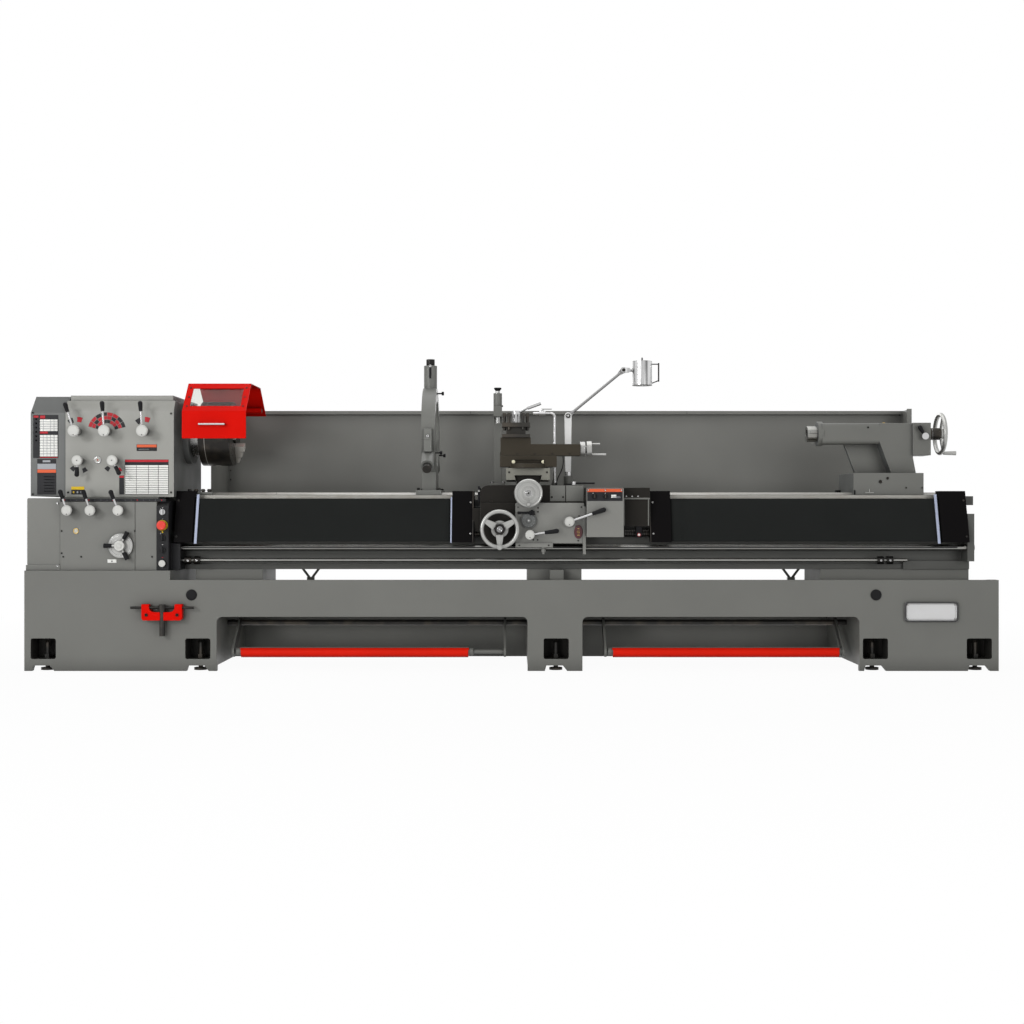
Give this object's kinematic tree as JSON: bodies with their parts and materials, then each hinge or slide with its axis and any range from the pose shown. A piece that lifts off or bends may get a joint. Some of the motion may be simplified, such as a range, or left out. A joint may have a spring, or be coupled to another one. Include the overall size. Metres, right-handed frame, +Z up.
{
  "type": "geared head lathe",
  "caption": "Heavy gap-bed engine lathe: geared headstock with guarded chuck, carriage, steady and follow rests, tailstock, roll-up way covers, foot brake and rear splash guard.",
  "frame": {"origin": "on the floor, below the middle of the machine's outer box", "axes": "+X along the bed from headstock to tailstock, +Y from the operator to the rear, +Z up"},
  "size_m": [4.97, 1.232, 1.661],
  "materials": {
    "grey_paint": "smooth satin machine enamel",
    "light_grey_paint": "smooth satin machine enamel",
    "dark_grey_paint": "satin machine enamel",
    "red_paint": "gloss powder coat",
    "white_paint": "gloss powder coat",
    "black_paint": "satin powder coat",
    "black_sheet": "matte coated roll-up sheet",
    "bare_steel": "ground",
    "dark_steel": "oiled and turned",
    "chrome": "polished",
    "red_plastic": "moulded",
    "white_plastic": "moulded"
  },
  "bodies": {
    "root": {"base_casting": "grey_paint", "leveling_screws": "dark_steel", "key_holder": "red_paint", "chuck_key": "bare_steel", "bed_casting": "grey_paint", "headstock_casting": "light_grey_paint", "belt_cover": "dark_grey_paint", "gearbox_casing": "light_grey_paint", "splash_guard": "grey_paint", "cover_canisters": "black_paint", "way_curtains": "black_sheet"},
    "end_cover": {"end_cover": "dark_grey_paint"},
    "spindle": {"spindle": "bare_steel", "chuck_body": "dark_steel"},
    "jaw_1": {"jaw_1": "dark_steel"},
    "jaw_2": {"jaw_2": "dark_steel"},
    "jaw_3": {"jaw_3": "dark_steel"},
    "chuck_guard": {"chuck_guard": "red_paint"},
    "carriage": {"saddle": "grey_paint", "apron": "light_grey_paint", "follow_rest": "grey_paint"},
    "steady_base": {"steady_base": "grey_paint"},
    "tailstock": {"tailstock": "grey_paint"},
    "speed_lever_1": {"speed_lever_1": "chrome"},
    "speed_lever_2": {"speed_lever_2": "chrome"},
    "speed_lever_3": {"speed_lever_3": "chrome"},
    "range_lever_1": {"range_lever_1": "chrome"},
    "range_lever_2": {"range_lever_2": "chrome"},
    "feed_lever_1": {"feed_lever_1": "chrome"},
    "feed_lever_2": {"feed_lever_2": "chrome"},
    "feed_lever_3": {"feed_lever_3": "chrome"},
    "feed_dial": {"feed_dial": "chrome"},
    "e_stop": {"e_stop": "red_plastic"},
    "jog_button": {"jog_button": "white_plastic"},
    "leadscrew": {"leadscrew": "bare_steel"},
    "feed_rod": {"feed_rod": "bare_steel"},
    "control_rod": {"control_rod": "bare_steel"},
    "brake_treadle": {"brake_treadle": "red_paint"},
    "apron_handwheel": {"apron_handwheel": "chrome"},
    "feed_engage_lever": {"feed_engage_lever": "chrome"},
    "half_nut_lever": {"half_nut_lever": "chrome"},
    "cross_slide": {"cross_slide": "grey_paint"},
    "cross_handwheel": {"cross_handwheel": "chrome"},
    "compound_rest": {"compound_rest": "dark_grey_paint"},
    "top_slide": {"top_slide": "dark_grey_paint"},
    "top_handwheel": {"top_handwheel": "chrome"},
    "toolpost": {"toolpost": "dark_steel"},
    "toolpost_lever": {"toolpost_lever": "chrome"},
    "follow_finger": {"follow_finger": "bare_steel"},
    "coolant_pipe": {"coolant_pipe": "chrome"},
    "lamp_lower_arm": {"lamp_lower_arm": "bare_steel"},
    "lamp_upper_arm": {"lamp_upper_arm": "bare_steel"},
    "lamp_head": {"lamp_head": "white_paint"},
    "steady_top": {"steady_top": "grey_paint"},
    "steady_finger_1": {"steady_finger_1": "bare_steel"},
    "steady_finger_2": {"steady_finger_2": "bare_steel"},
    "steady_finger_3": {"steady_finger_3": "bare_steel"},
    "quill": {"quill": "bare_steel"},
    "tailstock_handwheel": {"tailstock_handwheel": "chrome"},
    "quill_lock": {"quill_lock": "black_paint"}
  },
  "joints": [
    {"name": "end_cover_hinge", "type": "hinge", "parent": "root", "child": "end_cover", "pos_m": [-2.308, 0.264, 1.15], "axis": [0, 0, -1], "range_deg": [0, 95]},
    {"name": "spindle_spin", "type": "hinge", "parent": "root", "child": "spindle", "pos_m": [-1.652, -0.08, 1.23], "axis": [1, 0, 0], "continuous": true},
    {"name": "jaw_1_slide", "type": "slide", "parent": "spindle", "child": "jaw_1", "axis": [0, -1, 0], "range_m": [-0.02, 0.02]},
    {"name": "jaw_2_slide", "type": "slide", "parent": "spindle", "child": "jaw_2", "axis": [0, 0.5, -0.866], "range_m": [-0.02, 0.02]},
    {"name": "jaw_3_slide", "type": "slide", "parent": "spindle", "child": "jaw_3", "axis": [0, 0.5, 0.866], "range_m": [-0.02, 0.02]},
    {"name": "chuck_guard_hinge", "type": "hinge", "parent": "root", "child": "chuck_guard", "pos_m": [-1.52, 0.149, 1.371], "axis": [-1, 0, 0], "range_deg": [0, 70]},
    {"name": "speed_lever_1_turn", "type": "hinge", "parent": "root", "child": "speed_lever_1", "pos_m": [-2.229, -0.41, 1.225], "axis": [0, 1, 0], "range_deg": [-20, 50]},
    {"name": "speed_lever_2_turn", "type": "hinge", "parent": "root", "child": "speed_lever_2", "pos_m": [-2.075, -0.41, 1.225], "axis": [0, 1, 0], "range_deg": [-30, 30]},
    {"name": "speed_lever_3_turn", "type": "hinge", "parent": "root", "child": "speed_lever_3", "pos_m": [-1.881, -0.41, 1.225], "axis": [0, 1, 0], "range_deg": [-30, 30]},
    {"name": "range_lever_1_turn", "type": "hinge", "parent": "root", "child": "range_lever_1", "pos_m": [-2.214, -0.41, 1.074], "axis": [0, 1, 0], "range_deg": [-30, 30]},
    {"name": "range_lever_2_turn", "type": "hinge", "parent": "root", "child": "range_lever_2", "pos_m": [-2.036, -0.41, 1.074], "axis": [0, 1, 0], "range_deg": [-30, 30]},
    {"name": "feed_lever_1_turn", "type": "hinge", "parent": "root", "child": "feed_lever_1", "pos_m": [-2.257, -0.46, 0.819], "axis": [0, 1, 0], "range_deg": [-25, 35]},
    {"name": "feed_lever_2_turn", "type": "hinge", "parent": "root", "child": "feed_lever_2", "pos_m": [-2.139, -0.46, 0.819], "axis": [0, 1, 0], "range_deg": [-25, 35]},
    {"name": "feed_lever_3_turn", "type": "hinge", "parent": "root", "child": "feed_lever_3", "pos_m": [-1.997, -0.46, 0.819], "axis": [0, 1, 0], "range_deg": [-25, 35]},
    {"name": "feed_dial_turn", "type": "hinge", "parent": "root", "child": "feed_dial", "pos_m": [-1.996, -0.46, 0.639], "axis": [0, 1, 0], "range_deg": [-90, 90]},
    {"name": "e_stop_press", "type": "slide", "parent": "root", "child": "e_stop", "axis": [0, 1, 0], "range_m": [0, 0.006], "stiffness_N_per_m": 900, "springref_m": -0.003},
    {"name": "jog_press", "type": "slide", "parent": "root", "child": "jog_button", "axis": [0, 1, 0], "range_m": [0, 0.004], "stiffness_N_per_m": 600, "springref_m": -0.003},
    {"name": "leadscrew_spin", "type": "hinge", "parent": "root", "child": "leadscrew", "pos_m": [0, -0.308, 0.7], "axis": [1, 0, 0], "continuous": true},
    {"name": "feed_rod_spin", "type": "hinge", "parent": "root", "child": "feed_rod", "pos_m": [0, -0.36, 0.627], "axis": [1, 0, 0], "continuous": true},
    {"name": "control_rod_turn", "type": "hinge", "parent": "root", "child": "control_rod", "pos_m": [0, -0.36, 0.561], "axis": [1, 0, 0], "range_deg": [-12, 12]},
    {"name": "brake_press", "type": "hinge", "parent": "root", "child": "brake_treadle", "pos_m": [0, -0.18, 0.226], "axis": [1, 0, 0], "range_deg": [0, 8], "stiffness_Nm_per_rad": 300, "springref_deg": -22.92},
    {"name": "carriage_travel", "type": "slide", "parent": "root", "child": "carriage", "axis": [1, 0, 0], "range_m": [-0.15, 0.9], "deforming": ["way_curtains"]},
    {"name": "apron_handwheel_spin", "type": "hinge", "parent": "carriage", "child": "apron_handwheel", "pos_m": [-0.06, -0.516, 0.723], "axis": [0, 1, 0], "continuous": true},
    {"name": "feed_engage_turn", "type": "hinge", "parent": "carriage", "child": "feed_engage_lever", "pos_m": [0.294, -0.446, 0.762], "axis": [0, 1, 0], "range_deg": [-12, 20]},
    {"name": "half_nut_turn", "type": "hinge", "parent": "carriage", "child": "half_nut_lever", "pos_m": [0.094, -0.44, 0.695], "axis": [0, 1, 0], "range_deg": [-25, 15]},
    {"name": "cross_travel", "type": "slide", "parent": "carriage", "child": "cross_slide", "axis": [0, 1, 0], "range_m": [-0.1001, 0.1501]},
    {"name": "cross_wheel_turn", "type": "hinge", "parent": "carriage", "child": "cross_handwheel", "pos_m": [0.086, -0.526, 0.906], "axis": [0, 1, 0], "range_deg": [-7200, 10800]},
    {"name": "compound_swivel", "type": "hinge", "parent": "cross_slide", "child": "compound_rest", "pos_m": [0.086, -0.33, 1.04], "axis": [0, 0, 1], "range_deg": [-90, 25]},
    {"name": "top_travel", "type": "slide", "parent": "compound_rest", "child": "top_slide", "axis": [1, 0, 0], "range_m": [-0.1201, 0.0601]},
    {"name": "top_wheel_turn", "type": "hinge", "parent": "top_slide", "child": "top_handwheel", "pos_m": [0.356, -0.33, 1.1373], "axis": [1, 0, 0], "range_deg": [-7200, 3600]},
    {"name": "toolpost_index", "type": "hinge", "parent": "top_slide", "child": "toolpost", "pos_m": [0.023, -0.33, 1.2], "axis": [0, 0, 1], "range_deg": [-90, 90]},
    {"name": "toolpost_lever_turn", "type": "hinge", "parent": "top_slide", "child": "toolpost_lever", "pos_m": [0.023, -0.33, 1.3], "axis": [0, 0, 1], "range_deg": [-60, 60]},
    {"name": "follow_finger_slide", "type": "slide", "parent": "carriage", "child": "follow_finger", "axis": [0, 0, 1], "range_m": [0, 0.02]},
    {"name": "coolant_swivel", "type": "hinge", "parent": "carriage", "child": "coolant_pipe", "pos_m": [0.237, 0.12, 0.96], "axis": [0, 0, 1], "range_deg": [-40, 60]},
    {"name": "lamp_swivel", "type": "hinge", "parent": "carriage", "child": "lamp_lower_arm", "pos_m": [0.311, 0.12, 1], "axis": [0, 0, 1], "range_deg": [-60, 60]},
    {"name": "lamp_elbow", "type": "hinge", "parent": "lamp_lower_arm", "child": "lamp_upper_arm", "pos_m": [0.311, 0.12, 1.34], "axis": [0, -1, 0], "range_deg": [-30, 40]},
    {"name": "lamp_head_tilt", "type": "hinge", "parent": "lamp_upper_arm", "child": "lamp_head", "pos_m": [0.617, 0.12, 1.592], "axis": [0, -1, 0], "range_deg": [-45, 45]},
    {"name": "steady_travel", "type": "slide", "parent": "root", "child": "steady_base", "axis": [1, 0, 0], "range_m": [-0.6, 0.04]},
    {"name": "steady_top_hinge", "type": "hinge", "parent": "steady_base", "child": "steady_top", "pos_m": [-0.435, 0.187, 1.181], "axis": [-1, 0, 0], "range_deg": [0, 80]},
    {"name": "steady_finger_1_slide", "type": "slide", "parent": "steady_top", "child": "steady_finger_1", "axis": [0, 0, 1], "range_m": [0, 0.03]},
    {"name": "steady_finger_2_slide", "type": "slide", "parent": "steady_base", "child": "steady_finger_2", "axis": [0, -0.866, -0.5], "range_m": [0, 0.03]},
    {"name": "steady_finger_3_slide", "type": "slide", "parent": "steady_base", "child": "steady_finger_3", "axis": [0, 0.866, -0.5], "range_m": [0, 0.03]},
    {"name": "tailstock_travel", "type": "slide", "parent": "root", "child": "tailstock", "axis": [1, 0, 0], "range_m": [-0.35, 0.1]},
    {"name": "quill_travel", "type": "slide", "parent": "tailstock", "child": "quill", "axis": [-1, 0, 0], "range_m": [0, 0.1501]},
    {"name": "tailstock_wheel_turn", "type": "hinge", "parent": "tailstock", "child": "tailstock_handwheel", "pos_m": [2.23, -0.08, 1.23], "axis": [-1, 0, 0], "range_deg": [0, 9000]},
    {"name": "quill_lock_turn", "type": "hinge", "parent": "tailstock", "child": "quill_lock", "pos_m": [2.192, -0.16, 1.213], "axis": [0, 1, 0], "range_deg": [-30, 30]}
  ],
  "couplings": [
    {"joint": "jaw_2_slide", "follows": "jaw_1_slide", "ratio": 1},
    {"joint": "jaw_3_slide", "follows": "jaw_1_slide", "ratio": 1},
    {"joint": "leadscrew_spin", "follows": "spindle_spin", "ratio": 0.25},
    {"joint": "feed_rod_spin", "follows": "spindle_spin", "ratio": 0.2},
    {"joint": "apron_handwheel_spin", "follows": "carriage_travel", "rad_per_m": 209.44},
    {"joint": "cross_travel", "follows": "cross_wheel_turn", "m_per_rad": 0.00079577},
    {"joint": "top_travel", "follows": "top_wheel_turn", "m_per_rad": 0.00095493},
    {"joint": "quill_travel", "follows": "tailstock_wheel_turn", "m_per_rad": 0.00095493}
  ]
}
